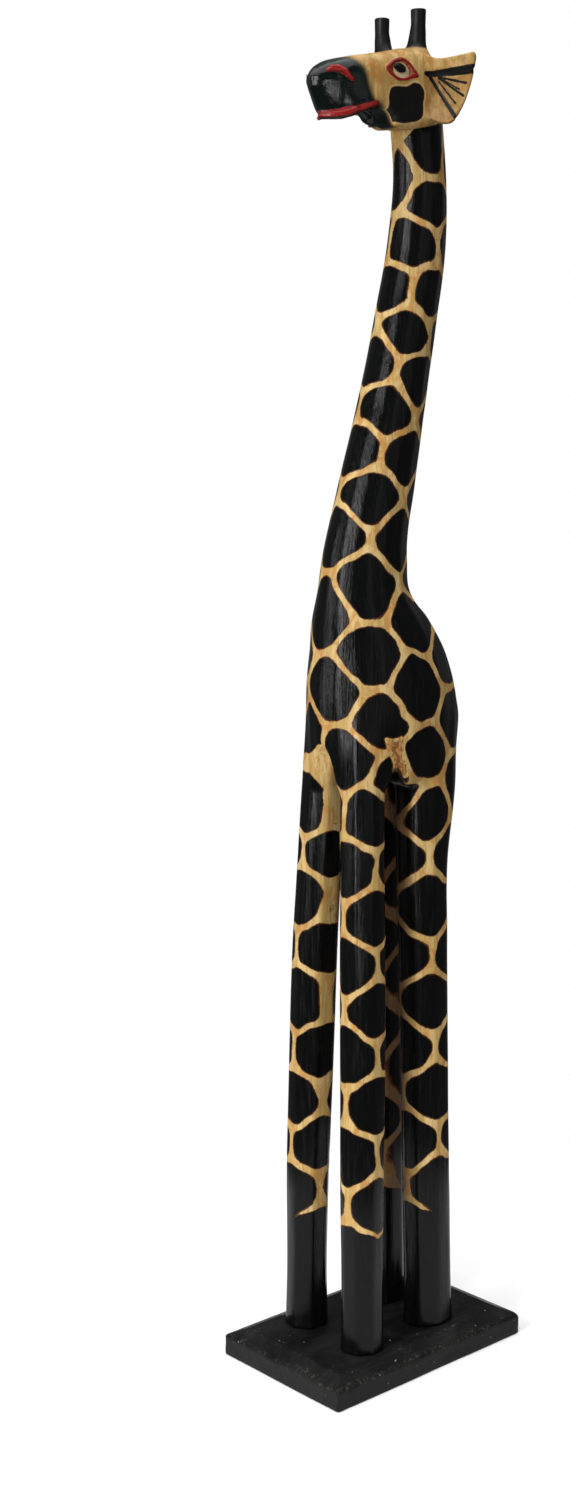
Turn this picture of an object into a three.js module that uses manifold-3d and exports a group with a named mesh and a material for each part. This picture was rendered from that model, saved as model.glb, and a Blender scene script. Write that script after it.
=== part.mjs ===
// Carved giraffe statue on a plinth, in millimetres. +Z is up and the giraffe faces -Y, so its
// left side is +X. The origin is the middle of the plinth's underside.
//
// The neck and body are one carved log. The head, ears, horns, legs and tail are carved
// separately and pegged to it, and four screws hold the feet to the plinth from below.

import * as THREE from "three";
import { mergeVertices } from "three/addons/utils/BufferGeometryUtils.js";
import Module from "manifold-3d";

// ---------------------------------------------------------------- driving dimensions

const PLINTH_LENGTH = 177.8; // along Y, 7 in
const PLINTH_WIDTH = 120.65; // along X, 4.75 in
const TOTAL_HEIGHT = 908; // 35.75 in, floor to the tips of the horns
const PLINTH_THICKNESS = 20;
const PLINTH_SIDE = 15; // upright part of the plinth's edge, below its bevel
const PLINTH_BEVEL = 12; // how far in the bevel reaches

const GLUE_GAP = 0.3; // between faces that are glued, and round every peg
const LEG_TOP = 405; // height of the joint between the legs and the body
const NECK_TOP = 842; // height of the neck's end, inside the head
const CROWN_SEAT = 883; // height of the flats that the horns stand on
const EAR_SEAT = 24; // distance from the middle plane to the flats that the ears are glued to

// Carved forms are lofts through stations. Each station is
// [height, centre x, centre y, half length along y, half width along x].
const TRUNK = [
  [LEG_TOP, 0, 5, 52.5, 37.4],
  [424, 0, 6.6, 54.6, 39.4],
  [451, 0, 8.4, 55.6, 40.8],
  [479, 0, 6.3, 53.6, 40],
  [500, 0, 3.2, 48, 37],
  [520, 0, -3, 41.2, 33.2],
  [537, 0, -8.6, 33.6, 28.8],
  [560, 0, -8.2, 30.2, 26.2],
  [612, 0, 3.2, 26.8, 23.4],
  [665, 0, 16.9, 23.8, 21.4],
  [717, 0, 29.2, 22, 19.8],
  [769, 0, 39.2, 20.2, 18.4],
  [805, 0, 41.6, 18.3, 16.8],
  [NECK_TOP, 0, 38, 18, 16.4],
];
const FRONT_LEG = [
  [PLINTH_THICKNESS + GLUE_GAP, 29.2, -38.2, 15, 14.8],
  [48, 29, -38, 14.5, 14.3],
  [124, 28, -37, 14.8, 14.6],
  [212, 26.3, -34.8, 15.6, 15],
  [300, 24, -32.6, 15.6, 15],
  [355, 21.6, -30.4, 15, 14.8],
  [LEG_TOP - GLUE_GAP, 19.8, -28.5, 15.2, 15.2],
];
const REAR_LEG = [
  [PLINTH_THICKNESS + GLUE_GAP, 26.2, 29, 18.6, 16.2],
  [48, 25.8, 28.6, 18, 15.8],
  [124, 25, 27.8, 17.8, 15.6],
  [212, 24.2, 26.4, 17.6, 15.6],
  [300, 23, 25.2, 18.2, 16],
  [355, 22, 25, 19.6, 16.4],
  [LEG_TOP - GLUE_GAP, 20.8, 27.5, 22.5, 16.5],
];

// Arches carved up into the body between the legs. Each is [middle, half width, top], and the
// first runs from side to side while the second runs from front to back.
const SIDE_ARCH = { middle: -2.6, halfWidth: 8.4, top: 421 };
const FRONT_ARCH = { middle: 0, halfWidth: 4.6, top: 427 };

// The head is lofted from the nose backwards. Each station is [y, half width, lowest z, highest z].
const HEAD = [
  [-58.5, 1.5, 854, 861],
  [-55, 7.5, 847, 863],
  [-48, 13.5, 841.5, 866],
  [-38, 18.5, 841.5, 869.5],
  [-26, 22.3, 842.5, 873],
  [-16, 24, 839, 875.5],
  [-6, 25, 834, 878.5],
  [6, 25.6, 832.5, 881.5],
  [20, 27, 836, 885],
  [36, 27.2, 839, 884.5],
  [50, 22.5, 843, 880],
  [58.5, 8, 851, 869],
];

// One ear, from its glued face outwards. Each station is [x, centre y, centre z, half y, half z].
const EAR = [
  [EAR_SEAT + GLUE_GAP, 33.5, 859.5, 15.5, 20.5],
  [31, 35.5, 860.5, 12, 19.5],
  [37, 38.5, 863, 8.5, 17.5],
  [42.5, 41.5, 867, 5, 13.5],
  [46.5, 43.5, 871, 2, 9.5],
];
const EAR_HOLLOW = { x: 44, y: 25, z: 862, halfX: 14, halfY: 11.5, halfZ: 12.5, turn: -0.9 };

const HORN = { x: 16.7, y: 23.5, topRadius: 5, waistRadius: 4.7, footRadius: 8.2 };
const HORN_TENON = { radius: 3.2, depth: 11 };

const TAIL = { top: 486, bottom: 408, halfWidth: 3.6, halfThickness: 2 };
const TAIL_PEG = { radius: 1.6, depth: 12, height: 472 };

const NECK_DOWEL = { radius: 5, y: 38.5, bottom: 818, top: 864 };
const LEG_DOWEL = { radius: 5, reach: 24 };
const EAR_DOWEL = { radius: 2.2, y: 35, z: 861, from: 15, to: 30 };
const SCREW = { radius: 2, headRadius: 4, headDepth: 2.6, sink: 0.6, tip: 48 };

// Fineness of the lofts.
const TRUNK_RINGS = 30;
const TRUNK_SIDES = 22;
const LEG_RINGS = 14;
const LEG_SIDES = 14;
const HEAD_RINGS = 20;
const HEAD_SIDES = 22;
const PEG_SIDES = 14;

// How square a section is: 2 is an ellipse, and higher is boxier.
const TRUNK_SQUARENESS = 2.2;
const LEG_SQUARENESS = 2.2;
const HEAD_SQUARENESS = 2.7;

// ---------------------------------------------------------------- materials

const blackLacquer = new THREE.MeshStandardMaterial({ color: 0x14151a, roughness: 0.35 });
const paintedHide = new THREE.MeshStandardMaterial({ color: 0xc89d5a, roughness: 0.45 });
const bareWood = new THREE.MeshStandardMaterial({ color: 0xd8bd8c, roughness: 0.8 });
const plinthBlack = new THREE.MeshStandardMaterial({ color: 0x232526, roughness: 0.6 });
const zincSteel = new THREE.MeshStandardMaterial({ color: 0xb8bcc0, roughness: 0.35, metalness: 0.9 });

// ---------------------------------------------------------------- solids and booleans

const wasm = await Module();
wasm.setup();

function solidOf(geometry) {
  const bare = geometry.clone();
  bare.deleteAttribute("normal");
  bare.deleteAttribute("uv");
  const merged = mergeVertices(bare, 1e-4);
  return new wasm.Manifold(
    new wasm.Mesh({
      numProp: 3,
      vertProperties: new Float32Array(merged.attributes.position.array),
      triVerts: new Uint32Array(merged.index.array),
    }),
  );
}

function geometryOf(solid) {
  const mesh = solid.getMesh();
  return new THREE.BufferGeometry()
    .setAttribute("position", new THREE.BufferAttribute(mesh.vertProperties, 3))
    .setIndex(new THREE.BufferAttribute(mesh.triVerts, 1));
}

function cut(geometry, ...tools) {
  return geometryOf(tools.reduce((left, tool) => left.subtract(solidOf(tool)), solidOf(geometry)));
}

function join(...geometries) {
  return geometryOf(geometries.map(solidOf).reduce((whole, next) => whole.add(next)));
}

// ---------------------------------------------------------------- shape helpers

// Smooth values between stations, whose first number is the place along the loft.
function between(stations) {
  const places = stations.map((station) => station[0]);
  const values = stations.flatMap((station) => station.slice(1));
  const spline = new THREE.CubicInterpolant(places, values, stations[0].length - 1);
  return (place) => Array.from(spline.evaluate(place));
}

// A point of a superellipse with half axes a and b, at a turn in radians.
function superellipse(turn, a, b, squareness) {
  const power = 2 / squareness;
  const along = Math.cos(turn);
  const across = Math.sin(turn);
  return [
    a * Math.sign(along) * Math.abs(along) ** power,
    b * Math.sign(across) * Math.abs(across) ** power,
  ];
}

// A closed skin over rings of points, fanned to the middle of each end ring.
function skin(rings) {
  const sides = rings[0].length;
  const last = rings.length - 1;
  const middle = (ring) =>
    ring.reduce((sum, point) => sum.add(point), new THREE.Vector3()).divideScalar(sides);
  const points = [...rings.flat(), middle(rings[0]), middle(rings[last])];
  const bottom = rings.length * sides;
  const top = bottom + 1;
  const faces = [];
  for (let side = 0; side < sides; side += 1) {
    const next = (side + 1) % sides;
    for (let ring = 0; ring < last; ring += 1) {
      const a = ring * sides + side;
      const b = ring * sides + next;
      faces.push(a, b, b + sides, a, b + sides, a + sides);
    }
    faces.push(bottom, next, side);
    faces.push(top, last * sides + side, last * sides + next);
  }
  return new THREE.BufferGeometry().setFromPoints(points).setIndex(faces);
}

function spread(from, to, count) {
  return Array.from({ length: count }, (_, i) => from + ((to - from) * i) / (count - 1));
}

// A loft upwards through [height, x, y, half length, half width] stations, grown by a margin.
function uprightLoft(stations, ringCount, sides, squareness, margin = 0) {
  const at = between(stations);
  const heights = spread(stations[0][0], stations[stations.length - 1][0], ringCount);
  const rings = heights.map((z) => {
    const [x, y, halfLength, halfWidth] = at(z);
    return Array.from({ length: sides }, (_, i) => {
      const turn = ((i + 0.5) / sides) * 2 * Math.PI;
      const [dx, dy] = superellipse(turn, halfWidth + margin, halfLength + margin, squareness);
      return new THREE.Vector3(x + dx, y + dy, z);
    });
  });
  return skin(rings);
}

function box(low, high) {
  const size = high.map((value, i) => value - low[i]);
  const geometry = new THREE.BoxGeometry(...size);
  return geometry.translate(low[0] + size[0] / 2, low[1] + size[1] / 2, low[2] + size[2] / 2);
}

// An upright peg, or the hole for one when it is grown by the glue gap.
function peg(radius, x, y, bottom, top, grow = 0) {
  const height = top - bottom + 2 * grow;
  return new THREE.CylinderGeometry(radius + grow, radius + grow, height, PEG_SIDES)
    .rotateX(Math.PI / 2)
    .translate(x, y, (bottom + top) / 2);
}

// A turned piece standing on the z axis, from a profile of [radius, height] pairs.
function turned(profile, sides = PEG_SIDES) {
  const points = profile.map(([radius, height]) => new THREE.Vector2(radius, height));
  return new THREE.LatheGeometry(points, sides).rotateX(Math.PI / 2);
}

function mirrored(geometry) {
  const source = geometry.index ? geometry.toNonIndexed() : geometry.clone();
  const position = source.getAttribute("position");
  const flipped = new Float32Array(position.array.length);
  for (let i = 0; i < position.count; i += 1) {
    const from = i - (i % 3) + (2 - (i % 3)); // the corners of a face in the other order
    flipped.set([-position.getX(from), position.getY(from), position.getZ(from)], i * 3);
  }
  return new THREE.BufferGeometry().setAttribute("position", new THREE.BufferAttribute(flipped, 3));
}

// ---------------------------------------------------------------- pieces

const trunkAt = between(TRUNK);
const legFeet = {
  front: FRONT_LEG[0].slice(1, 3),
  rear: REAR_LEG[0].slice(1, 3),
};
const legHeads = {
  front: FRONT_LEG[FRONT_LEG.length - 1].slice(1, 3),
  rear: REAR_LEG[REAR_LEG.length - 1].slice(1, 3),
};
const sideOf = { left: 1, right: -1 };
const LEGS = ["front_left", "front_right", "rear_left", "rear_right"].map((name) => {
  const [end, side] = name.split("_");
  return { name, stations: end === "front" ? FRONT_LEG : REAR_LEG, end, sign: sideOf[side] };
});

function screwHole([x, y], sign) {
  const clearance = peg(SCREW.radius, sign * x, y, -1, SCREW.tip, GLUE_GAP);
  const sink = turned([
    [0, -1],
    [SCREW.headRadius + GLUE_GAP, -1],
    [SCREW.headRadius + GLUE_GAP, SCREW.sink + GLUE_GAP],
    [SCREW.radius, SCREW.sink + SCREW.headDepth + 2 * GLUE_GAP],
    [0, SCREW.sink + SCREW.headDepth + 2 * GLUE_GAP],
  ]).translate(sign * x, y, 0);
  return join(clearance, sink);
}

function makePlinth() {
  const low = box(
    [-PLINTH_WIDTH / 2, -PLINTH_LENGTH / 2, 0],
    [PLINTH_WIDTH / 2, PLINTH_LENGTH / 2, PLINTH_SIDE],
  );
  const bevelled = new THREE.BufferGeometry().copy(low);
  const block = box(
    [-PLINTH_WIDTH / 2, -PLINTH_LENGTH / 2, PLINTH_SIDE],
    [PLINTH_WIDTH / 2, PLINTH_LENGTH / 2, PLINTH_THICKNESS],
  );
  const position = block.getAttribute("position");
  for (let i = 0; i < position.count; i += 1) {
    if (position.getZ(i) > PLINTH_SIDE + 1) {
      position.setX(i, position.getX(i) - Math.sign(position.getX(i)) * PLINTH_BEVEL);
      position.setY(i, position.getY(i) - Math.sign(position.getY(i)) * PLINTH_BEVEL);
    }
  }
  const holes = LEGS.map((leg) => screwHole(legFeet[leg.end], leg.sign));
  return cut(join(bevelled, block), ...holes);
}

// A round-topped tunnel along y, standing below the body's underside.
function arch({ halfWidth, top }) {
  return new THREE.CylinderGeometry(1, 1, 2 * PLINTH_LENGTH, 20)
    .scale(halfWidth, 1, top - LEG_TOP + 6)
    .translate(0, 0, LEG_TOP - 6);
}

function makeTrunk() {
  const body = uprightLoft(TRUNK, TRUNK_RINGS, TRUNK_SIDES, TRUNK_SQUARENESS);
  const legHoles = LEGS.map((leg) => {
    const [x, y] = legHeads[leg.end];
    return peg(LEG_DOWEL.radius, leg.sign * x, y, LEG_TOP - 5, LEG_TOP + LEG_DOWEL.reach, GLUE_GAP);
  });
  const neckHole = peg(
    NECK_DOWEL.radius,
    0,
    NECK_DOWEL.y,
    NECK_DOWEL.bottom,
    NECK_TOP + 5,
    GLUE_GAP,
  );
  const sideArch = arch(SIDE_ARCH).rotateZ(Math.PI / 2).translate(0, SIDE_ARCH.middle, 0);
  const frontArch = arch(FRONT_ARCH).translate(FRONT_ARCH.middle, 0, 0);
  return cut(body, sideArch, frontArch, ...legHoles, neckHole, tailPeg(GLUE_GAP));
}

function makeLeg({ stations, end, sign }) {
  const placed = stations.map(([z, x, ...rest]) => [z, sign * x, ...rest]);
  const leg = uprightLoft(placed, LEG_RINGS, LEG_SIDES, LEG_SQUARENESS);
  const [x, y] = legHeads[end];
  const hole = peg(LEG_DOWEL.radius, sign * x, y, LEG_TOP - LEG_DOWEL.reach, LEG_TOP + 5, GLUE_GAP);
  return cut(leg, hole, screwHole(legFeet[end], sign));
}

function makeLegDowel({ end, sign }) {
  const [x, y] = legHeads[end];
  const low = LEG_TOP - LEG_DOWEL.reach;
  return peg(LEG_DOWEL.radius, sign * x, y, low, LEG_TOP + LEG_DOWEL.reach);
}

function makeScrew({ end, sign }) {
  const [x, y] = legFeet[end];
  return turned([
    [0, SCREW.sink],
    [SCREW.headRadius, SCREW.sink],
    [SCREW.radius, SCREW.sink + SCREW.headDepth],
    [SCREW.radius, SCREW.tip - 5],
    [0, SCREW.tip],
  ]).translate(sign * x, y, 0);
}

function makeHead() {
  const at = between(HEAD);
  const rings = spread(HEAD[0][0], HEAD[HEAD.length - 1][0], HEAD_RINGS).map((y) => {
    const [halfWidth, low, high] = at(y);
    return Array.from({ length: HEAD_SIDES }, (_, i) => {
      const turn = -((i + 0.5) / HEAD_SIDES) * 2 * Math.PI;
      const [dx, dz] = superellipse(turn, halfWidth, (high - low) / 2, HEAD_SQUARENESS);
      return new THREE.Vector3(dx, y, (low + high) / 2 + dz);
    });
  });
  const neck = uprightLoft(
    [...TRUNK.slice(-3, -1), [NECK_TOP + GLUE_GAP, ...TRUNK[TRUNK.length - 1].slice(1)]],
    8,
    TRUNK_SIDES,
    TRUNK_SQUARENESS,
    GLUE_GAP,
  );
  const dowelHole = peg(NECK_DOWEL.radius, 0, NECK_DOWEL.y, NECK_TOP - 5, NECK_DOWEL.top, GLUE_GAP);
  const tools = [neck, dowelHole];
  for (const sign of [1, -1]) {
    const reach = HORN.footRadius + 1;
    tools.push(peg(reach, sign * HORN.x, HORN.y, CROWN_SEAT, CROWN_SEAT + 20));
    const tenonFoot = CROWN_SEAT - HORN_TENON.depth;
    tools.push(peg(HORN_TENON.radius, sign * HORN.x, HORN.y, tenonFoot, CROWN_SEAT + 5, GLUE_GAP));
    const seat = [sign * EAR_SEAT, sign * (EAR_SEAT + 20)].sort((p, q) => p - q);
    tools.push(box([seat[0], 16, 835], [seat[1], 56, 892]));
    tools.push(earDowel(sign, GLUE_GAP));
  }
  return cut(skin(rings), ...tools);
}

function earDowel(sign, grow = 0) {
  const length = EAR_DOWEL.to - EAR_DOWEL.from + 2 * grow;
  const radius = EAR_DOWEL.radius + grow;
  return new THREE.CylinderGeometry(radius, radius, length, PEG_SIDES)
    .rotateZ(Math.PI / 2)
    .translate((sign * (EAR_DOWEL.from + EAR_DOWEL.to)) / 2, EAR_DOWEL.y, EAR_DOWEL.z);
}

function makeLeftEar() {
  const at = between(EAR);
  const rings = spread(EAR[0][0], EAR[EAR.length - 1][0], 8).map((x) => {
    const [y, z, halfY, halfZ] = at(x);
    return Array.from({ length: 16 }, (_, i) => {
      const turn = ((i + 0.5) / 16) * 2 * Math.PI;
      const [dy, dz] = superellipse(turn, halfY, halfZ, 2.4);
      return new THREE.Vector3(x, y + dy, z + dz);
    });
  });
  const hollow = new THREE.SphereGeometry(1, 16, 10)
    .scale(EAR_HOLLOW.halfX, EAR_HOLLOW.halfY, EAR_HOLLOW.halfZ)
    .rotateZ(EAR_HOLLOW.turn)
    .translate(EAR_HOLLOW.x, EAR_HOLLOW.y, EAR_HOLLOW.z);
  return cut(skin(rings), hollow, earDowel(1, GLUE_GAP));
}

function makeHorn(sign) {
  const foot = CROWN_SEAT + GLUE_GAP;
  return turned([
    [0, CROWN_SEAT - HORN_TENON.depth],
    [HORN_TENON.radius, CROWN_SEAT - HORN_TENON.depth],
    [HORN_TENON.radius, foot],
    [HORN.footRadius, foot],
    [HORN.waistRadius + 1.2, foot + 4],
    [HORN.waistRadius, foot + 9],
    [HORN.topRadius, TOTAL_HEIGHT - 1],
    [HORN.topRadius - 1, TOTAL_HEIGHT],
    [0, TOTAL_HEIGHT],
  ]).translate(sign * HORN.x, HORN.y, 0);
}

function rumpBack(z) {
  const [, y, halfLength] = trunkAt(Math.max(z, LEG_TOP));
  return y + halfLength;
}

function tailPeg(grow = 0) {
  const back = rumpBack(TAIL_PEG.height);
  const length = TAIL_PEG.depth + TAIL.halfThickness;
  const radius = TAIL_PEG.radius + grow;
  return new THREE.CylinderGeometry(radius, radius, length + 2 * grow, PEG_SIDES).translate(
    0,
    back + TAIL.halfThickness - length / 2,
    TAIL_PEG.height,
  );
}

// A flat strip that follows the rump down from its peg, ending in a wider tuft.
function makeTail() {
  const rings = spread(TAIL.bottom, TAIL.top, 16).map((z) => {
    const share = (z - TAIL.bottom) / (TAIL.top - TAIL.bottom);
    const tuft = 1.6 * Math.exp(-(((share - 0.14) / 0.1) ** 2));
    const taper = share < 0.05 ? 0.5 : 1 - 0.25 * share;
    const halfThickness = TAIL.halfThickness * (share > 0.95 ? 0.6 : 1);
    const y = rumpBack(z) + GLUE_GAP + TAIL.halfThickness;
    return Array.from({ length: 12 }, (_, i) => {
      const turn = ((i + 0.5) / 12) * 2 * Math.PI;
      const halfWidth = TAIL.halfWidth * taper + tuft;
      const [dx, dy] = superellipse(turn, halfWidth, halfThickness, 2.5);
      return new THREE.Vector3(dx, y + dy, z);
    });
  });
  return join(skin(rings), tailPeg());
}

// ---------------------------------------------------------------- assembly

const statue = new THREE.Group();

function place(name, geometry, material) {
  const mesh = new THREE.Mesh(geometry, material);
  mesh.name = name;
  statue.add(mesh);
}

place("plinth", makePlinth(), plinthBlack);
place("neck_and_body", makeTrunk(), paintedHide);
place("head", makeHead(), paintedHide);
place("neck_dowel", peg(NECK_DOWEL.radius, 0, NECK_DOWEL.y, NECK_DOWEL.bottom, NECK_DOWEL.top), bareWood);

const leftEar = makeLeftEar();
place("ear_left", leftEar, paintedHide);
place("ear_right", mirrored(leftEar), paintedHide);
for (const [side, sign] of Object.entries(sideOf)) {
  place(`horn_${side}`, makeHorn(sign), blackLacquer);
  place(`ear_dowel_${side}`, earDowel(sign), bareWood);
}

for (const leg of LEGS) {
  place(`leg_${leg.name}`, makeLeg(leg), paintedHide);
  place(`leg_dowel_${leg.name}`, makeLegDowel(leg), bareWood);
  place(`foot_screw_${leg.name}`, makeScrew(leg), zincSteel);
}

place("tail", makeTail(), blackLacquer);

export default statue;
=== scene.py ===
"""A carved and painted wooden giraffe on a black plinth, with studio light and a camera.

The carving is described by distance functions, in millimetres: negative inside the wood and
positive outside. A net of quads is wrapped round each one and pulled on to its surface, and the
painted pattern is kept on the net as signed distances that the materials read.
"""

import contextlib
import math
from itertools import combinations, product

import bmesh
import bpy
import numpy as np
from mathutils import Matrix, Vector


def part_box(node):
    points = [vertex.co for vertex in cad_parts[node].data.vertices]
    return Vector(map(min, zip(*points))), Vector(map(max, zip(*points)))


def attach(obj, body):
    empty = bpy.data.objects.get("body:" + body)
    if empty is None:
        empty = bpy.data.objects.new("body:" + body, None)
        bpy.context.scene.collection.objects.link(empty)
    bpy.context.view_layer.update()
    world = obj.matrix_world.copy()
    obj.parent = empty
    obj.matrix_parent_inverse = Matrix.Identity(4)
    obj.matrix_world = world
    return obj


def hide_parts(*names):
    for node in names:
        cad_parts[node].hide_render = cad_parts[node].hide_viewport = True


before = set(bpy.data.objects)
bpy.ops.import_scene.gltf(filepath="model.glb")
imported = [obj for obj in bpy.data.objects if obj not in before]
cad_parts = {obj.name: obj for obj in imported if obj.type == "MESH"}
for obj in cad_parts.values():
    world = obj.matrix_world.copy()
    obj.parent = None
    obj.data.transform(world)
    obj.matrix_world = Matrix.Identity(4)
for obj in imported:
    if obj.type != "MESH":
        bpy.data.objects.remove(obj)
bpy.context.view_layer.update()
MM = 0.001


def add_object(name, data):
    made = bpy.data.objects.new(name, data)
    bpy.context.scene.collection.objects.link(made)
    return made


def stand(thing, turn, distance, height, pitch):
    """Puts a camera or light round the statue, turned from its front towards its left."""
    angle = math.radians(turn)
    thing.location = (distance * math.sin(angle), -distance * math.cos(angle), height)
    thing.rotation_euler = (math.radians(90 - pitch), 0, angle)


# -------- the camera

camera_data = bpy.data.cameras.new("camera")
camera_data.lens = 44.98
camera_data.shift_x = -0.059
camera_data.shift_y = 0.0467
camera = add_object("camera", camera_data)
stand(camera, turn=46.8, distance=1.265, height=0.606, pitch=10)
bpy.context.scene.camera = camera

# -------- numbers along a form


def along(stations, place):
    """Smooth values between stations, whose first number is the place along the form."""
    table = np.array(stations, float)
    knots, values = table[:, 0], table[:, 1:]
    slopes = np.gradient(values, knots, axis=0)
    place = np.clip(place, knots[0], knots[-1])
    i = np.clip(np.searchsorted(knots, place) - 1, 0, len(knots) - 2)
    width = (knots[i + 1] - knots[i])[:, None]
    t = (place - knots[i])[:, None] / width
    return (
        (2 * t**3 - 3 * t**2 + 1) * values[i]
        + (t**3 - 2 * t**2 + t) * width * slopes[i]
        + (3 * t**2 - 2 * t**3) * values[i + 1]
        + (t**3 - t**2) * width * slopes[i + 1]
    ).T


def ease(low, high, value):
    """0 below low and 1 above high, with a smooth step between them."""
    t = np.clip((value - low) / (high - low), 0, 1)
    return t * t * (3 - 2 * t)


def soft_min(a, b, radius):
    """The nearer of two distances, with a fillet of about that radius where they meet."""
    blend = np.maximum(radius - np.abs(a - b), 0) / radius
    return np.minimum(a, b) - blend**3 * radius / 6


def soft_max(a, b, radius):
    return -soft_min(-a, -b, radius)


def wander(points, size, seed):
    """Smooth noise from -1 to 1, with bumps about size across on each axis."""
    q = points / size + 31.7 * seed
    cell = np.floor(q).astype(np.int64)
    f = q - cell
    f = f * f * (3 - 2 * f)
    total = np.zeros(len(points))
    for corner in product((0, 1), repeat=3):
        c = cell + corner
        key = c[:, 0] * 73856093 ^ c[:, 1] * 19349663 ^ c[:, 2] * 83492791 ^ seed * 2654435
        key = (key ^ (key >> 13)) * 1274126177 & 0x7FFFFFFF
        key = (key ^ (key >> 11)) & 0xFFFF
        weight = np.prod(np.where(corner, f, 1 - f), axis=1)
        total += (key / 32767.5 - 1) * weight
    return total


# -------- simple distance functions


def ellipsoid(p, centre, radii):
    q = p - centre
    r = np.array(radii, float)
    near = np.linalg.norm(q / r, axis=1)
    far = np.linalg.norm(q / r**2, axis=1)
    return near * (near - 1) / np.maximum(far, 1e-6)


def on_left(p):
    """The same points with the right half mirrored on to the left."""
    q = p.copy()
    q[:, 0] = np.abs(q[:, 0])
    return q


def strand(p, stops):
    """Distance to a bent rod through stops of (point, radius)."""
    nearest = np.full(len(p), 1e9)
    for (a, ra), (b, rb) in zip(stops, stops[1:]):
        a, b = np.array(a, float), np.array(b, float)
        t = np.clip((p - a) @ (b - a) / ((b - a) @ (b - a)), 0, 1)
        gap = np.linalg.norm(p - a - t[:, None] * (b - a), axis=1)
        nearest = np.minimum(nearest, gap - (ra + (rb - ra) * t))
    return nearest


def rounded_loop(corners, rounds=2):
    """A closed outline with its corners cut off, a few times over."""
    points = np.array(corners, float)
    for _ in range(rounds):
        after = np.roll(points, -1, axis=0)
        points = np.stack([0.75 * points + 0.25 * after, 0.25 * points + 0.75 * after], 1)
        points = points.reshape(-1, 2)
    return points


def outline(u, v, loop):
    """Signed distance to a closed outline in the u, v plane, negative inside."""
    nearest = np.full(len(u), 1e9)
    inside = np.zeros(len(u), bool)
    for (au, av), (bu, bv) in zip(loop, np.roll(loop, -1, axis=0)):
        du, dv = bu - au, bv - av
        t = np.clip(((u - au) * du + (v - av) * dv) / (du * du + dv * dv + 1e-12), 0, 1)
        nearest = np.minimum(nearest, np.hypot(u - au - t * du, v - av - t * dv))
        crosses = (av > v) != (bv > v)
        side = au + (v - av) * du / (dv if abs(dv) > 1e-9 else 1e-9)
        inside ^= crosses & (u < side)
    return np.where(inside, -nearest, nearest)


# -------- the neck, body and legs

# Each station is [height, centre x, centre y, half length along y, half width along x].
TRUNK = [
    [398, 0, 1, 46, 35.6], [424, 0, 5.6, 53, 40.4], [451, 0, 8.4, 57.2, 43.4],
    [479, 0, 6.3, 55.2, 42.6], [500, 0, 3.2, 49.8, 39.6], [520, 0, -3, 42.4, 34.8],
    [537, 0, -8.6, 33.6, 28.8], [560, 0, -8.2, 30.2, 26.2], [612, 0, 3.2, 26.8, 23.4],
    [665, 0, 16.9, 23.8, 21.4], [717, 0, 29.2, 22, 19.8], [769, 0, 39.2, 20.2, 18.4],
    [805, 0, 41.6, 18.3, 16.8], [846, 0, 38, 18, 16.4],
]
FRONT_LEG = [
    [18, 29.2, -38.2, 15.2, 15], [48, 29, -38, 14.5, 14.3], [124, 28, -37, 14.8, 14.6],
    [212, 26.3, -34.8, 15.6, 15], [300, 24, -32.6, 15.6, 15], [355, 21.6, -30.4, 15, 14.8],
    [405, 19.2, -28, 15, 15], [440, 17.6, -26, 14.8, 14.4], [480, 15, -22, 13, 12.6],
]
REAR_LEG = [
    [18, 26.2, 29, 18.8, 16.4], [48, 25.8, 28.6, 18, 15.8], [124, 25, 27.8, 17.8, 15.6],
    [212, 24.2, 26.4, 17.6, 15.6], [300, 23, 25.2, 18.2, 16], [355, 22, 25, 19.6, 16.4],
    [405, 21.4, 28.4, 23.4, 17.6], [450, 20, 28, 25, 18],
]
LEGS = {"front": FRONT_LEG, "rear": REAR_LEG}
# The right rear leg stands a little nearer the middle at its foot, as x and y.
RIGHT_REAR_STRAY = (2.4, 1.8)
# Where the carver's flat cuts face, in degrees from the front.
TRUNK_CUTS = (8, 28, 47, 69, 94, 120, 149, 176, -156, -130, -103, -76, -50, -29, -10)
LEG_CUTS = (10, 55, 98, 140, 186, 230, 275, 322)
SQUARENESS = 2.15  # of the smooth sections between them, where 2 is an ellipse
FLOOR_OF_FEET = 20.0
LEG_JOINT = 405.0
BETWEEN_PAIRS = -3.2  # the front and rear legs lie on either side of this y
SIDE_ARCH, MIDDLE_ARCH = 392, 396  # where the hollows' rounded tops begin
NECK_END = 845.0


def cut_section(u, v, cuts, sharpness):
    """How far out a point lies on a section of flat cuts, where 1 is the surface."""
    reach = np.stack([u * math.sin(math.radians(c)) - v * math.cos(math.radians(c)) for c in cuts])
    peak = reach.max(axis=0)
    return peak + np.log(np.exp((reach - peak) * sharpness).sum(axis=0)) / sharpness


def limb(p, stations, side, cuts, flatness, sharpness):
    """Distance to a lofted form with flat cuts along it."""
    x0, y0, half_length, half_width = along(stations, p[:, 2])
    u = (p[:, 0] - side * x0) / half_width * (1 if side >= 0 else -1)
    v = (p[:, 1] - y0) / half_length
    smooth = (np.abs(u) ** SQUARENESS + np.abs(v) ** SQUARENESS) ** (1 / SQUARENESS)
    flat = cut_section(u, v, cuts, sharpness) / 0.985
    ratio = (1 - flatness) * smooth + flatness * flat
    return (ratio - 1) * np.sqrt(half_length * half_width)


def trunk(p):
    skin = limb(p, TRUNK, 0, TRUNK_CUTS, flatness=0.95, sharpness=90)
    underside = 410 - p[:, 2]
    return soft_max(skin, underside, 16)


def leg(p, stations, side):
    if stations is REAR_LEG and side < 0:
        share = ease(340, 60, p[:, 2])[:, None]
        p = p - share * np.array([*RIGHT_REAR_STRAY, 0])
    skin = limb(p, stations, side, LEG_CUTS, flatness=0.72, sharpness=26)
    top = 496 if stations is FRONT_LEG else 460
    return soft_max(skin, p[:, 2] - top, 14)


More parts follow.
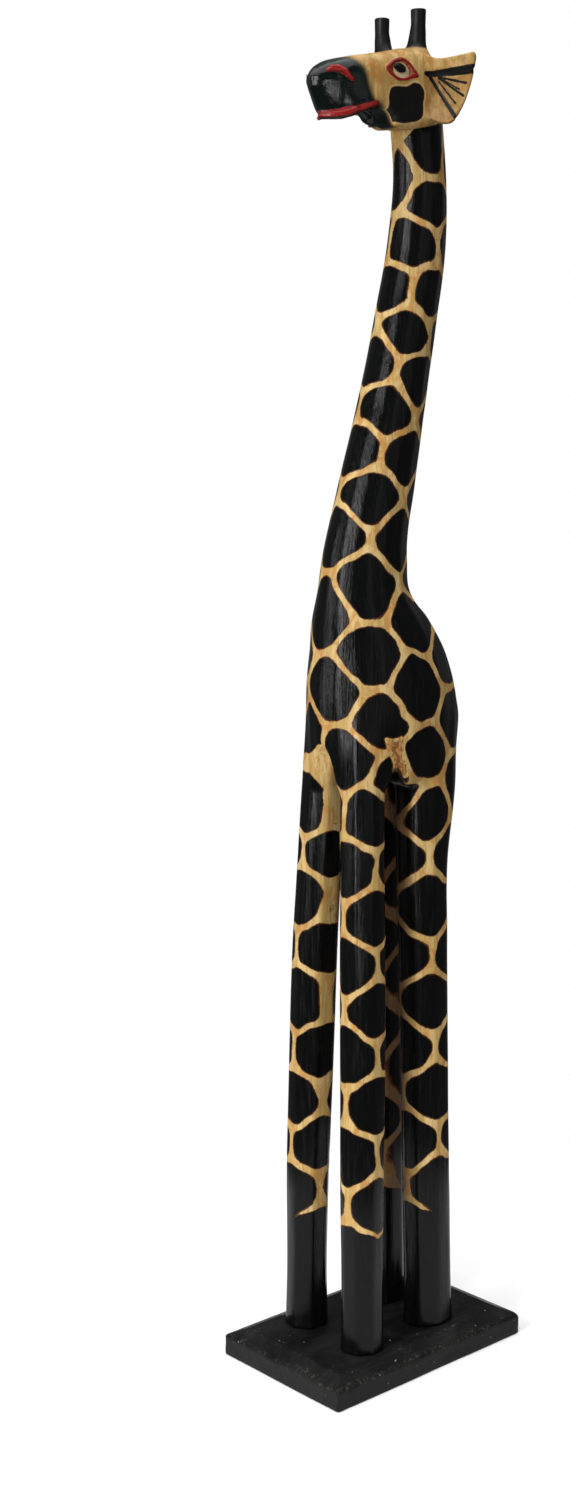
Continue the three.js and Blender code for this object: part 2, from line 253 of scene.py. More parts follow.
def side_hollow(p):
    """The way through between the front and rear legs, wider at its mouths."""
    x, y, z = p.T
    mouth = ease(22, 42, np.abs(x))
    middle = BETWEEN_PAIRS - mouth * (8.5 + 2.8 * ease(345, 395, z))
    half = 7.4 + 1.6 * mouth
    arch_rise = 29 + 3 * mouth
    arch = np.maximum(z - SIDE_ARCH, 0) / arch_rise
    return (np.hypot((y - middle) / half, arch) - 1) * half


def middle_hollow(p):
    """The way through between the left and right legs."""
    half = 4.4
    arch = np.maximum(p[:, 2] - MIDDLE_ARCH, 0) / 30
    return (np.hypot(p[:, 0] / half, arch) - 1) * half


LEAF_CUT = [((38.5, -18.5, 419), 4.6), ((39.5, -19.6, 430), 3.6), ((40.5, -22, 440), 1.6)]


def figure_form(p):
    """Neck, body and legs as one form, before the tool marks."""
    d = trunk(p)
    for stations, side in product(LEGS.values(), (1, -1)):
        d = soft_min(d, leg(p, stations, side), 8)
    d = soft_max(d, -side_hollow(p), 5)
    d = soft_max(d, -middle_hollow(p), 5)
    # The scoops where the legs part, at the chest and at the rump.
    d = soft_max(d, -ellipsoid(p, (0, -57, 404), (12.5, 21, 39)), 4)
    d = soft_max(d, -ellipsoid(p, (0, 69, 400), (11, 22, 34)), 5)
    # The narrow cut above each side hollow, and the scoop beside it.
    d = soft_max(d, -strand(on_left(p), LEAF_CUT), 2)
    d = soft_max(d, -ellipsoid(on_left(p), (53, -3, 433), (13, 9, 17)), 1.5)
    d = np.maximum(d, FLOOR_OF_FEET - p[:, 2])
    return np.maximum(d, p[:, 2] - NECK_END)


def figure(p):
    """The figure with the carver's long waves and short strokes in it."""
    marks = wander(p, (16, 16, 70), 3) * 0.42 + wander(p, (5, 5, 34), 4) * 0.16
    return figure_form(p) - marks * ease(20, 26, p[:, 2])


# -------- the head

# The head as the carver saws it: half of its outline from above, as x and y, and its outline
# from the side, as y and height.
half_plan = np.array([
    (0, -59.4), (4.5, -56), (9.2, -51.4), (13, -46.6), (16.8, -41.4), (20, -35.4), (22.2, -28.6),
    (23.8, -20), (24.5, -10), (25, 0), (25.6, 10), (26.4, 20), (26.6, 30), (24.6, 42),
    (18.5, 52), (9, 58), (0, 60),
])
HEAD_PLAN = rounded_loop(np.vstack([half_plan, half_plan[-2:0:-1] * (-1, 1)]))
HEAD_PROFILE = rounded_loop([
    (-59, 860), (-57.6, 862), (-53.6, 864.6), (-48.3, 867.4), (-43.3, 869.8), (-38.2, 871.6),
    (-33, 873), (-24, 874.8), (-17, 876), (-9, 878.1), (2, 881), (11, 883.4), (20, 884.6),
    (26, 884), (32, 880.6), (38, 876.8), (46, 872), (54, 866), (58.6, 860), (59, 854),
    (56, 848.6), (50, 844), (40, 840), (28, 836.4), (10, 833), (-1, 833), (-3.4, 835.6),
    (-5.4, 840), (-11, 843), (-18, 842.6), (-28, 839.6), (-39, 837.2), (-46, 836.6),
    (-48, 838.6), (-51.4, 842.8), (-54.8, 848.2), (-57.4, 854.2),
])
EAR_ROOT = (22.0, 24.5, 862.0)
EAR_OUTWARD = (0.787, 0.617)
RIGHT_EAR_STRETCH = 1.4
# The ear's outline in its own plane: outwards from its root, and up.
EAR_SHAPE = rounded_loop([
    (-6, -17), (4, -22), (12, -25.4), (18, -25), (21.4, -19.6), (25.2, -12), (28.2, -4.6),
    (30.6, 3.4), (32, 11), (33.4, 18.2), (28, 17.6), (16, 15.6), (8, 14.8), (2, 16.4), (-6, 16),
])
HORN_X, HORN_Y, HORN_TOP = 16.7, 23.5, 908.0
HORN_FLARE = [((15.6, 23.5, 893), 3.8), ((12.4, 23.5, 883), 5.0)]

LIPS = [
    ((0, -44.6, 837.2), 2.6), ((5.4, -41.6, 837.1), 2.7), ((10.2, -37.8, 837.4), 2.8),
    ((14.4, -32.8, 839), 2.8), ((17.8, -27.4, 841.2), 2.6), ((20.4, -21.8, 843.6), 2.3),
    ((21.7, -18.4, 845), 1.9),
]
THROAT = [
    ((0, -14, 846), 3), ((0, -3, 843.4), 6.8), ((0, 6, 842.6), 8.4), ((0, 15, 844), 8.4),
]
NOSTRIL = [
    ((9.4, -50, 861.6), 0.7), ((12.4, -47, 863.4), 1.7), ((15.4, -44, 863.4), 2.1),
    ((18, -40.6, 861.2), 2.0), ((19.8, -36.8, 857), 1.4),
]


def ear_plane(p):
    """Outwards, up and forwards in an ear's own plane. The right ear hangs less low."""
    x, y, z = p.T
    out_x, out_y = EAR_OUTWARD
    dx, dy, up = np.abs(x) - EAR_ROOT[0], y - EAR_ROOT[1], z - EAR_ROOT[2]
    up = np.where((x < 0) & (up < 0), up * RIGHT_EAR_STRETCH, up)
    return dx * out_x + dy * out_y, up, dx * out_y - dy * out_x


def ear(p):
    outwards, up, forwards = ear_plane(p)
    cup = 4.4 * np.clip(np.abs(up + 1) / 20, 0, 1.2) ** 2.2 - 2.2
    roll = 1.6 * ease(4, 9, up)
    thickness = 3.6 - 1.9 * ease(2, 26, outwards) + 0.7 * ease(5, 11, up)
    plate = np.abs(forwards - cup - roll + 1) - thickness
    return soft_max(plate, outline(outwards, up, EAR_SHAPE), 2.2)


def horn(q):
    x, y, z = q.T
    height = np.clip((z - 880) / 28, 0, 1)
    radius = 5.6 - 3.2 * height + 2.6 * height**2
    ends = np.maximum(z - HORN_TOP, 872 - z)
    return soft_max(np.hypot(x - HORN_X, y - HORN_Y) - radius, ends, 1.2)


def before_cheek_cut(p):
    """The same points lowered to where they were before the right cheek was cut away."""
    x, y, z = p.T
    rise = 13 * ease(10, -16, x) * ease(-40, -22, y) * ease(44, 20, y)
    return np.column_stack([x, y, z - rise * ease(866, 846, z)])


def on_face(p, stops):
    """Distance to a raised line on the face, which lies flatter at the right front."""
    flatter = ease(0, -5, p[:, 0]) * ease(-24, -31, p[:, 1])
    return strand(on_left(p), stops) + 1.5 * flatter


def head_form(p):
    """Head, ears and horns as one form, before the face is cut in."""
    q = on_left(p)
    x, y, z = p.T
    uncut = before_cheek_cut(p)
    # The muzzle's front leans back.
    lean = 0.5 * np.clip(861 - z, 0, 25) * ease(-16, -38, y)
    plan = outline(x, y - lean, HEAD_PLAN)
    profile = outline(y, uncut[:, 2], HEAD_PROFILE)
    d = soft_max(plan, profile, 9 + 11 * ease(852, 862, z))
    d = soft_min(d, strand(q, THROAT), 3)
    d = soft_min(d, ear(p), 4)
    d = soft_min(d, horn(q), 6)
    d = soft_min(d, strand(q, HORN_FLARE), 5)
    d = soft_min(d, on_face(uncut, LIPS), 1.2)
    return soft_min(d, on_face(p, NOSTRIL), 1.2)


EYE_RIM = rounded_loop([
    (-13.5, 866.4), (-8, 870.8), (-3, 874), (2, 875.2), (7, 873.6), (11, 869.8), (16, 864.4),
    (10, 863), (5, 861), (-2, 859.8), (-8, 862.2),
])
EYE_BALL = rounded_loop([
    (-6.2, 866.8), (-4.4, 870.6), (0.6, 872.2), (5.8, 870.6), (8, 866.6), (5.6, 862.8),
    (0.6, 861.6), (-4.4, 863),
], 3)


def head(p):
    d = head_form(p)
    q = on_left(p)
    x, y, z = q.T
    nostril_pit = ellipsoid(q, (17.4, -44.6, 858.4), (3.2, 5, 3))
    d = soft_max(d, -nostril_pit, 1.2)
    above_lips = [((a[0] + 2, a[1] - 2, a[2] + 3.2), 0.5) for a, _ in LIPS[1:]]
    mouth_line = strand(on_left(before_cheek_cut(p)), above_lips)
    d = soft_max(d, -mouth_line, 0.8)
    # The lids stand round the eye, which bulges inside its own groove.
    beside = ease(14, 20, x)
    rim = outline(y, z, EYE_RIM)
    ball = outline(y, z, EYE_BALL)
    lid = 0.75 * np.exp(-((rim + 1.3) / 1.2) ** 2) * beside
    round_eye = 1.3 * ease(0, 6, -ball) * beside
    eye_groove = 0.5 * np.exp(-((ball / 0.7) ** 2)) * beside
    d = d - lid - (round_eye - eye_groove)
    for start, end, _ in EAR_STROKES[:2]:
        d = d + 0.5 * np.exp(-((ear_line(p, start, end) / 0.9) ** 2))
    return d - wander(p, (9, 9, 9), 7) * 0.28 - wander(p, (3, 3, 5), 8) * 0.07


# Black strokes in the ear: start and end in the ear's own plane, and half width.
EAR_STROKES = [
    ((2, 5.4), (32, 8.6), 2.0), ((3, 4.8), (19.6, -20.6), 1.15),
    ((9, 4), (26.4, 0.4), 0.55), ((9, 3.4), (24.6, -7.4), 0.55),
    ((9, 1.2), (19.8, -12.2), 0.5), ((12, 2.2), (22, -3.4), 0.4),
]


def ear_line(p, start, end):
    """Distance to a stroke on the front of an ear, and 99 on its back."""
    outwards, up, forwards = ear_plane(p)
    place = np.column_stack([outwards, up]) - start
    run = np.subtract(end, start)
    t = np.clip(place @ run / (run @ run), 0, 1)
    gap = np.linalg.norm(place - t[:, None] * run, axis=1)
    return np.where(forwards > -6, gap, 99)


# -------- a net of quads round a form


def grid_values(form, low, high, step):
    """The form's distances on a grid, a few layers at a time, and the grid's first point."""
    axes = [np.arange(low[i], high[i] + step, step, dtype=float) for i in range(3)]
    layers = []
    for heights in np.split(axes[2], range(8, len(axes[2]), 8)):
        block = np.stack(np.meshgrid(axes[0], axes[1], heights, indexing="ij"), -1)
        layers.append(form(block.reshape(-1, 3)).reshape(block.shape[:3]))
    return np.concatenate(layers, axis=2), np.array([axis[0] for axis in axes])


def quad_net(form, low, high, step):
    """Points and quads of the surface where the form's distance is zero."""
    values, origin = grid_values(form, low, high, step)
    inside = values < 0
    count = np.array(values.shape) - 1
    corners = np.array(list(product((0, 1), repeat=3)))
    filled = sum(
        inside[a : a + count[0], b : b + count[1], c : c + count[2]].astype(np.int8)
        for a, b, c in corners
    )
    cells = np.argwhere((filled > 0) & (filled < 8))
    index = np.full(count, -1, np.int64)
    index[tuple(cells.T)] = np.arange(len(cells))
    place = np.zeros((len(cells), 3))
    crossings = np.zeros(len(cells))
    for a, b in combinations(corners, 2):
        if np.abs(a - b).sum() != 1:
            continue
        va, vb = values[tuple((cells + a).T)], values[tuple((cells + b).T)]
        crosses = (va < 0) != (vb < 0)
        t = np.where(crosses, va / np.where(crosses, va - vb, 1), 0)
        place += np.where(crosses[:, None], a + t[:, None] * (b - a), 0)
        crossings += crosses
    points = origin + (cells + place / crossings[:, None]) * step
    quads = []
    for axis in range(3):
        edges = np.argwhere(inside != np.roll(inside, -1, axis))
        across = np.delete(np.eye(3, dtype=int), axis, axis=0)
        keep = (edges < count).all(axis=1) & (edges @ across.T > 0).all(axis=1)
        edges = edges[keep]
        shifts = np.array([(-1, -1), (0, -1), (0, 0), (-1, 0)]) @ across
        ring = np.stack([index[tuple((edges + shift).T)] for shift in shifts], 1)
        outward = inside[tuple(edges.T)] != (axis == 1)
        quads.append(np.where(outward[:, None], ring, ring[:, ::-1]))
    return points, np.concatenate(quads)


def pull_on(form, points, rounds, furthest=1.2, reach=0.08):
    """Moves points along the form's slope until they lie on its surface."""
    for _ in range(rounds):
        here = form(points)
        nudges = np.eye(3) * reach
        gradient = np.stack([(form(points + nudge) - here) / reach for nudge in nudges], 1)
        size = np.maximum((gradient**2).sum(1), 0.05)
        move = -here[:, None] * gradient / size[:, None]
        length = np.linalg.norm(move, axis=1, keepdims=True)
        points = points + move * np.minimum(1, furthest / np.maximum(length, 1e-9))
    return points


def even_out(points, quads):
    """Each point goes to the middle of its neighbours along the net's edges."""
    after = np.roll(quads, -1, axis=1)
    here = np.concatenate([quads, after]).ravel()
    there = np.concatenate([after, quads]).ravel()
    total = [np.bincount(here, points[there, axis], len(points)) for axis in range(3)]
    return np.transpose(total) / np.bincount(here, minlength=len(points))[:, None]


def split_quads(points, quads):
    """Four quads for each one."""
    edges = np.stack([quads, np.roll(quads, -1, axis=1)], -1).reshape(-1, 2)
    unique, back = np.unique(np.sort(edges, axis=1), axis=0, return_inverse=True)
    middles = points[unique].mean(axis=1)
    centres = points[quads].mean(axis=1)
    edge = back.reshape(-1, 4) + len(points)
    centre = np.arange(len(quads)) + len(points) + len(unique)
    finer = [np.stack([quads[:, i], edge[:, i], centre, edge[:, i - 1]], 1) for i in range(4)]
    return np.concatenate([points, middles, centres]), np.concatenate(finer)


def carve(rough, fine, low, high, step):
    """A fine net of the form inside that box."""
    points, quads = quad_net(rough, low, high, step)
    for _ in range(2):
        points = pull_on(rough, even_out(points, quads), 2)
    points, quads = split_quads(points, quads)
    points = pull_on(fine, points, 1)
    points = pull_on(fine, even_out(points, quads), 2)
    return points, quads


def new_mesh(name, points, faces):
    mesh = bpy.data.meshes.new(name)
    mesh.from_pydata((points * MM).tolist(), [], faces)
    mesh.validate()
    return mesh


@contextlib.contextmanager
def editing(mesh):
    """The mesh as a bmesh, written back afterwards."""
    work = bmesh.new()
    work.from_mesh(mesh)
    yield work
    work.to_mesh(mesh)
    work.free()


def plane(axis, place, side):
    """A plane across one axis: a point on it, and its normal towards that side."""
    unit = np.eye(3)[axis]
    return unit * place, unit * side


def cut_piece(name, points, quads, planes):
    """A closed piece: the net inside all the planes, capped where they cut it."""
    keep = np.ones(len(points), bool)
    for place, normal in planes:
        keep &= (points - place) @ normal < 0.01
    quads = quads[keep[quads].any(axis=1)]
    used, corners = np.unique(quads, return_inverse=True)
    mesh = new_mesh(name, points[used], corners.reshape(-1, 4).tolist())
    with editing(mesh) as work:
        for place, normal in planes:
            whole = work.verts[:] + work.edges[:] + work.faces[:]
            cut = {"plane_co": tuple(place * MM), "plane_no": tuple(normal), "dist": 1e-7}
            bmesh.ops.bisect_plane(work, geom=whole, clear_outer=True, **cut)
            rim = [edge for edge in work.edges if edge.is_boundary]
            if rim:
                bmesh.ops.holes_fill(work, edges=rim, sides=0)
        bmesh.ops.recalc_face_normals(work, faces=work.faces)
    return mesh


def points_of(mesh):
    flat = np.empty(len(mesh.vertices) * 3)
    mesh.vertices.foreach_get("co", flat)
    return flat.reshape(-1, 3) / MM


def store(mesh, name, values):
    attribute = mesh.attributes.new(name, "FLOAT", "POINT")
    attribute.data.foreach_set("value", np.asarray(values, np.float32))


def add_piece(mesh, material, slot, *nodes, crease=40):
    mesh.shade_smooth()
    mesh.set_sharp_from_angle(angle=math.radians(crease))
    mesh.materials.append(material)
    piece = add_object(mesh.name, mesh)
    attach(piece, "root")
    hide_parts(*nodes)
    return piece


# -------- the painted patches

# The middle of each black patch: degrees round from the front towards the left, and height.
NECK_PATCHES = [
    (71, 821), (-5, 808), (76, 793), (41, 764), (5, 736), (98, 733), (55, 708), (-4, 691),
    (100, 677), (40, 657), (0, 634), (97, 627), (45, 601), (2, 577), (106, 573), (55, 545),
    (-3, 527), (107, 521), (46, 497), (15, 475), (84, 477), (130, 495), (52, 456), (27, 431),
    (92, 428), (128, 455), (-24, 445), (69, 415),
]
# The same for the sides that face away: columns of patches, from the top down.
FAR_COLUMNS = {
    158: (818, 764, 707, 656, 602, 548),
    -142: (792, 734, 680, 628, 575, 524),
    -76: (820, 766, 710, 655, 600, 548),
    172: (518, 476, 436),
    -138: (500, 456),
    -94: (522, 478, 437),
    -52: (502, 462),
}
# On each leg: the turn of its first column, how much further round the columns are when they
# reach the sock, the heights in the first and third columns, and those in the second and
# fourth, a quarter turn apart.
LEG_PATCHES = {
    ("front", 1): (-7, 13, (356, 292, 232, 161, 96), (394, 327, 263, 197, 125, 60)),
    ("front", -1): (-5, 0, (396, 332, 262, 190, 122, 58), (364, 299, 224, 158, 92)),
    ("rear", 1): (-34, 33, (361, 291, 226, 158, 92), (392, 326, 258, 193, 125, 60)),
    ("rear", -1): (-52, 0, (396, 329, 263, 196, 129, 62), (363, 296, 230, 163, 96)),
}
# Two more at the top of the left rear leg: turn and height.
THIGH_PATCHES = [(2, 406), (146, 408)]
PATCH_GAP = 2.1  # half the width of the gold lines
PATCHES_NEARBY = 9
CORNER_ROUNDING = 2.1
SOCK_TOP, SOCK_FADE = 112, 26
COLLAR = 826
OUTSIDE = 9.0  # how far away a point counts as being where a painted shape can't reach


def on_form(stations, side, turn, height):
    """The point on a form's skin that far round from its front, at that height."""
    angle = math.radians(turn)
    x0, y0, length, width = along(stations, [height])[:, 0]
    return (side * x0 + width * math.sin(angle), y0 - length * math.cos(angle), height)


def patch_middles():
    patches = NECK_PATCHES + [(c, z) for c, heights in FAR_COLUMNS.items() for z in heights]
    middles = [on_form(TRUNK, 0, *patch) for patch in patches]
    for (end, side), (first_turn, drift, *heights) in LEG_PATCHES.items():
        for column in range(4):
            for height in heights[column % 2]:
                turn = first_turn + 90 * column + drift * ease(420, 60, height)
                middles.append(on_form(LEGS[end], side, turn, height))
    middles += [on_form(REAR_LEG, 1, *patch) for patch in THIGH_PATCHES]
    return np.array(middles, float)


def patch_depth(p):
    """How far inside a black patch each point is, negative on the gold net between them."""
    middles = patch_middles()
    shake = np.stack([wander(p, (10, 10, 10), s) for s in (11, 12, 13)], 1) * 1.5
    shake += np.stack([wander(p, (5, 5, 6), s) for s in (14, 15, 16)], 1) * 0.6
    q = p + shake
    squares = (q**2).sum(1)[:, None] + (middles**2).sum(1) - 2 * q @ middles.T
    order = np.argpartition(squares, PATCHES_NEARBY, axis=1)[:, :PATCHES_NEARBY]
    nearest = np.take_along_axis(squares, order, axis=1)
    first = nearest.argmin(axis=1)
    home = middles[squares.argmin(axis=1)]
    home_square = squares.min(axis=1)
    total = np.zeros(len(q))
    for k in range(PATCHES_NEARBY):
        apart = np.linalg.norm(middles[order[:, k]] - home, axis=1)
        edge = (nearest[:, k] - home_square) / (2 * np.maximum(apart, 1))
        total += np.where(first == k, 0, np.exp(-edge / CORNER_ROUNDING))
    depth = -CORNER_ROUNDING * np.log(total)
    # The net's lines run out to points above the socks, and no patch rises past the collar.
    x, y, z = q.T
    sock = SOCK_TOP + 2 * ease(0, 14, y)
    depth = depth - PATCH_GAP + 9 * ease(sock, sock - SOCK_FADE, z)
    collar = COLLAR + 12 * ease(0, 14, x) + 3 * ease(20, 44, y)
    return np.minimum(depth, collar - z)


# The rough notch above the side hollows, as y and height.
NOTCH = rounded_loop([
    (-24, 446), (-17, 444), (-9.6, 446.4), (-9.4, 436), (-7.4, 429), (-3.4, 422), (-4, 416.5),
    (-9.6, 416.5), (-15, 420), (-16.2, 429), (-20.6, 434), (-22.4, 440),
], 1)
# The gold left bare on the chest between the front legs, as x and height.
CHEST_GOLD = rounded_loop([
    (-26, 432), (-17, 431), (-9, 435), (-2, 441), (1, 436), (5, 429), (10, 425), (6, 419),
    (0, 412), (1, 392), (-6, 378), (-7, 396), (-8, 410), (-13, 416.6), (-20, 420), (-27, 424),
])


def figure_paint(mesh):
    p = points_of(mesh)
    x, y, z = p.T
    wide = np.abs(x)
    depth = np.concatenate([patch_depth(chunk) for chunk in np.array_split(p, 24)])
    chest = np.where(y < -18, outline(x, z, CHEST_GOLD), OUTSIDE)
    notch = np.where(wide > 24, outline(y, z, NOTCH), OUTSIDE)
    # The sides of the legs that face one another, and the walls of the side hollows, where painted
    # shade darkens the gold to brown.
    painted_shade_inner = ease(1.45, 1.0, np.hypot(x / 24, (y - BETWEEN_PAIRS) / 22))
    painted_shade_inner = np.maximum(painted_shade_inner, ease(15, 9, wide))
    painted_shade_inner = painted_shade_inner * ease(428, 418, z) * ease(-24, -15, y)
    wall = ease(3, 1, side_hollow(p)) * ease(37, 31, wide)
    store(mesh, "painted_shade_inner", np.maximum(painted_shade_inner, wall))
    store(mesh, "patch", np.min([depth, chest, notch], axis=0))
    store(mesh, "bare", -notch - 1.2)


# -------- the painted face

MUZZLE = rounded_loop([
    (-70, 885), (-36, 873), (-31.5, 869), (-28.5, 864), (-26, 858), (-24.4, 853), (-22.6, 848),
    (-20, 846), (-15, 844.6), (-9.8, 842), (-7.8, 838), (-6.6, 832), (-6, 820), (-70, 820),
])
CHEEK_SPOT = rounded_loop([
    (-9.4, 852), (-7.6, 855.4), (-3.4, 856.6), (3, 857), (7.4, 858.6), (11, 860.8), (16, 860.4),
    (19.6, 857.6), (20.4, 853.4), (18.8, 848.6), (19.4, 844), (18.4, 840), (14.6, 837.8),
    (9, 836.4), (3, 835.2), (-2, 835.4), (-6.4, 837.6), (-8.6, 841), (-9, 846), (-9.8, 849),
], 1)


def head_paint(mesh):
    p = points_of(mesh)
    q = on_left(p)
    x, y, z = q.T
    shake = wander(p, (4, 4, 4), 21) * 0.25

    def beside(values):
        """The values on the sides of the head, and nothing between them."""
        return np.where(x > 12, values, -OUTSIDE)

    throat = np.min([18.6 - x, -y, 848 - z, y + 34], axis=0)
    throat = np.maximum(throat, 0.5 - strand(q, THROAT[:2]))
    muzzle = np.maximum(-outline(y, z, MUZZLE), throat)
    lip_places = np.array([place for place, _ in LIPS])
    lip_height = np.interp(y, lip_places[:, 1], lip_places[:, 2])
    uncut = on_left(before_cheek_cut(p))
    lips = np.minimum(0.6 - strand(uncut, LIPS), uncut[:, 2] - lip_height + 1.5)
    nostril = 0.5 - strand(q, NOSTRIL)
    eye = beside(-outline(y, z, EYE_RIM))
    cheek = np.minimum(-outline(y, z, CHEEK_SPOT), 2 * (x - 20.5))
    horn_black = np.minimum(z - 884.2, 11 - np.hypot(x - HORN_X, y - HORN_Y))
    outwards, up, forwards = ear_plane(p)
    strokes = np.full(len(p), -OUTSIDE)
    for start, end, width in EAR_STROKES:
        taper = width * (0.8 + 0.45 * ease(0, 28, outwards))
        strokes = np.maximum(strokes, taper - ear_line(p, start, end))
    # Painted shade in each ear's hollow: the front of the ear below its upper rim is marked for
    # darkening.
    ear_cup_shade = ease(-2, 5, outwards) * ease(34, 14, outwards)
    ear_cup_shade = np.minimum(ear_cup_shade, ease(6, 2, up)) * (forwards > -3.2)
    known = {
        "muzzle": muzzle + wander(p, (7, 7, 7), 22),
        "red": np.max([lips, nostril, eye], axis=0) + shake,
        "eye": eye,
        "cream": beside(-outline(y, z, EYE_BALL)) + shake * 0.5,
        "pupil": beside(3.1 - np.hypot((y + 0.6) * 0.68, z - 868)),
        "cheek": cheek + shake,
        "horn": horn_black + shake,
        "stroke": np.where((x > 20) & (y > 14), strokes, -OUTSIDE) + shake * 0.5,
        "ear": ear_cup_shade,
    }
    for name, values in known.items():
        store(mesh, name, values)


# -------- material helpers


class Paint:
    """A procedural material, with short names for the nodes it is made of."""

    def __init__(self, name, **constants):
        self.material = bpy.data.materials.new(name)
        self.material.use_nodes = True
        self.tree = self.material.node_tree
        self.shader = self.tree.nodes["Principled BSDF"]
        for socket, value in constants.items():
            self.shader.inputs[socket.replace("_", " ")].default_value = value
        self.place = self.node("TexCoord", {}).outputs["Object"]

    def node(self, kind, inputs, **settings):
        made = self.tree.nodes.new("ShaderNode" + kind)
        for key, value in settings.items():
            setattr(made, key, value)
        for name, value in inputs.items():
            self.feed(made.inputs[name], value)
        return made

    def feed(self, socket, value):
        if isinstance(value, bpy.types.NodeSocket):
            self.tree.links.new(value, socket)
        elif socket.type == "RGBA":
            socket.default_value = (*value, 1)
        else:
            socket.default_value = value

    def spots(self, size, detail=3.0, rough=0.55, twist=0.0):
        """Noise from 0 to 1, with bumps of size mm along x, y and z."""
        scale = tuple(1000 / s for s in size)
        spread = self.node("Mapping", {"Vector": self.place, "Scale": scale})
        inputs = {"Detail": detail, "Roughness": rough, "Distortion": twist, "Scale": 1.0}
        inputs["Vector"] = spread.outputs["Vector"]
        return self.node("TexNoise", inputs).outputs["Fac"]

    def known(self, name):
        """A number kept on the mesh."""
        return self.node("Attribute", {}, attribute_name=name).outputs["Fac"]

    def ramp(self, value, low, high, to_low=0.0, to_high=1.0):
        """value eased from low..high on to to_low..to_high."""
        names = ("Value", "From Min", "From Max", "To Min", "To Max")
        inputs = dict(zip(names, (value, low, high, to_low, to_high)))
        made = self.node("MapRange", inputs, interpolation_type="SMOOTHSTEP")
        return made.outputs["Result"]

    def math(self, operation, *values):
        """One operation on all the values in turn."""
        total = values[0]
        for value in values[1:]:
            made = self.node("Math", {0: total, 1: value}, operation=operation)
            total = made.outputs[0]
        return total

    def plus(self, *values):
        return self.math("ADD", *values)

    def times(self, *values):
        return self.math("MULTIPLY", *values)

    def weighed(self, *parts):
        """The sum of values, each with its weight."""
        return self.plus(*(self.times(value, weight) for value, weight in parts))

    def mix(self, share, a, b, kind="RGBA"):
        """Colour a where share is 0, and b where it is 1."""
        inputs = {"Factor": share, "A": a, "B": b}
        return self.node("Mix", inputs, data_type=kind).outputs["Result"]

    def blend(self, share, a, b):
        """Number a where share is 0, and b where it is 1."""
        return self.mix(share, a, b, "FLOAT")

    def finish(self, colour, roughness, height, depth_mm):
        inputs = {"Distance": depth_mm * MM, "Strength": 1.0, "Height": height}
        normal = self.node("Bump", inputs).outputs["Normal"]
        looks = {"Base Color": colour, "Roughness": roughness, "Normal": normal}
        for name, value in looks.items():
            self.feed(self.shader.inputs[name], value)
        return self.material


GOLD_LIGHT = (0.6, 0.43, 0.19)
GOLD = (0.46, 0.3, 0.1)
GOLD_DEEP = (0.25, 0.137, 0.04)
ORANGE = (0.42, 0.19, 0.042)
# The brown of the painted shade on the inner faces between the legs.
PAINTED_SHADE_BROWN = (0.075, 0.034, 0.014)
FACE_GOLD_LIGHT = (0.6, 0.4, 0.15)
FACE_GOLD = (0.38, 0.225, 0.066)
# The brown of the painted shade inside the ears' hollows.
EAR_SHADE_BROWN = (0.2, 0.1, 0.028)
RIM_BROWN = (0.06, 0.02, 0.007)
BLACK = (0.0022, 0.0024, 0.0024)
BLACK_WORN = (0.009, 0.0085, 0.008)
BARE_LIGHT = (0.5, 0.25, 0.075)
BARE_DARK = (0.17, 0.06, 0.015)
MUZZLE_BLACK = (0.0022, 0.0048, 0.0036)
# The muzzle's dark green made lighter, for the painted highlight on its top and for its random
# flecks.
MUZZLE_GREEN_LIT_AND_FLECKS = (0.022, 0.038, 0.031)
RED = (0.24, 0.012, 0.01)
RED_DARK = (0.095, 0.006, 0.006)
CREAM = (0.55, 0.4, 0.24)
CREAM_LIGHT = (0.62, 0.5, 0.36)
IRIS_BROWN = (0.2, 0.09, 0.04)
CORNER_RED = (0.12, 0.012, 0.006)
CORNER_ORANGE = (0.33, 0.12, 0.04)
PLINTH_BLACKS = ((0.0035, 0.0038, 0.0037), (0.01, 0.0105, 0.01))
PLINTH_GRAIN = (0.017, 0.017, 0.016)
PLINTH_RUBBED = (0.09, 0.08, 0.06)
PLINTH_FLECK = (0.38, 0.3, 0.2)
PALE_WOOD = ((0.62, 0.44, 0.25), (0.42, 0.26, 0.12))
ZINC = ((0.62, 0.63, 0.64), (0.5, 0.51, 0.52))


def gold_wood(paint, light=GOLD_LIGHT, middle=GOLD, pooled=0.7):
    """Gold stain over straight grain, with orange runs where it pooled."""
    grain = paint.spots((1.1, 1.1, 26), 4, 0.62, 0.3)
    broad = paint.spots((7, 7, 45), 3, 0.5, 0.4)
    pools = paint.spots((10, 10, 15), 3, 0.6, 0.9)
    colour = paint.mix(paint.ramp(broad, 0.36, 0.66), middle, light)
    colour = paint.mix(paint.ramp(grain, 0.50, 0.72, 0, 0.75), colour, GOLD_DEEP)
    colour = paint.mix(paint.ramp(pools, 0.5, 0.62, 0, pooled), colour, ORANGE)
    return colour, grain


def black_paint(paint):
    """Black paint that thins along the grain."""
    streaks = paint.spots((1.6, 1.6, 30), 3, 0.6, 0.2)
    cloud = paint.spots((14, 14, 40), 3, 0.5, 0.3)
    worn = paint.times(paint.ramp(streaks, 0.5, 0.75), paint.ramp(cloud, 0.4, 0.7))
    return paint.mix(worn, BLACK, BLACK_WORN), streaks


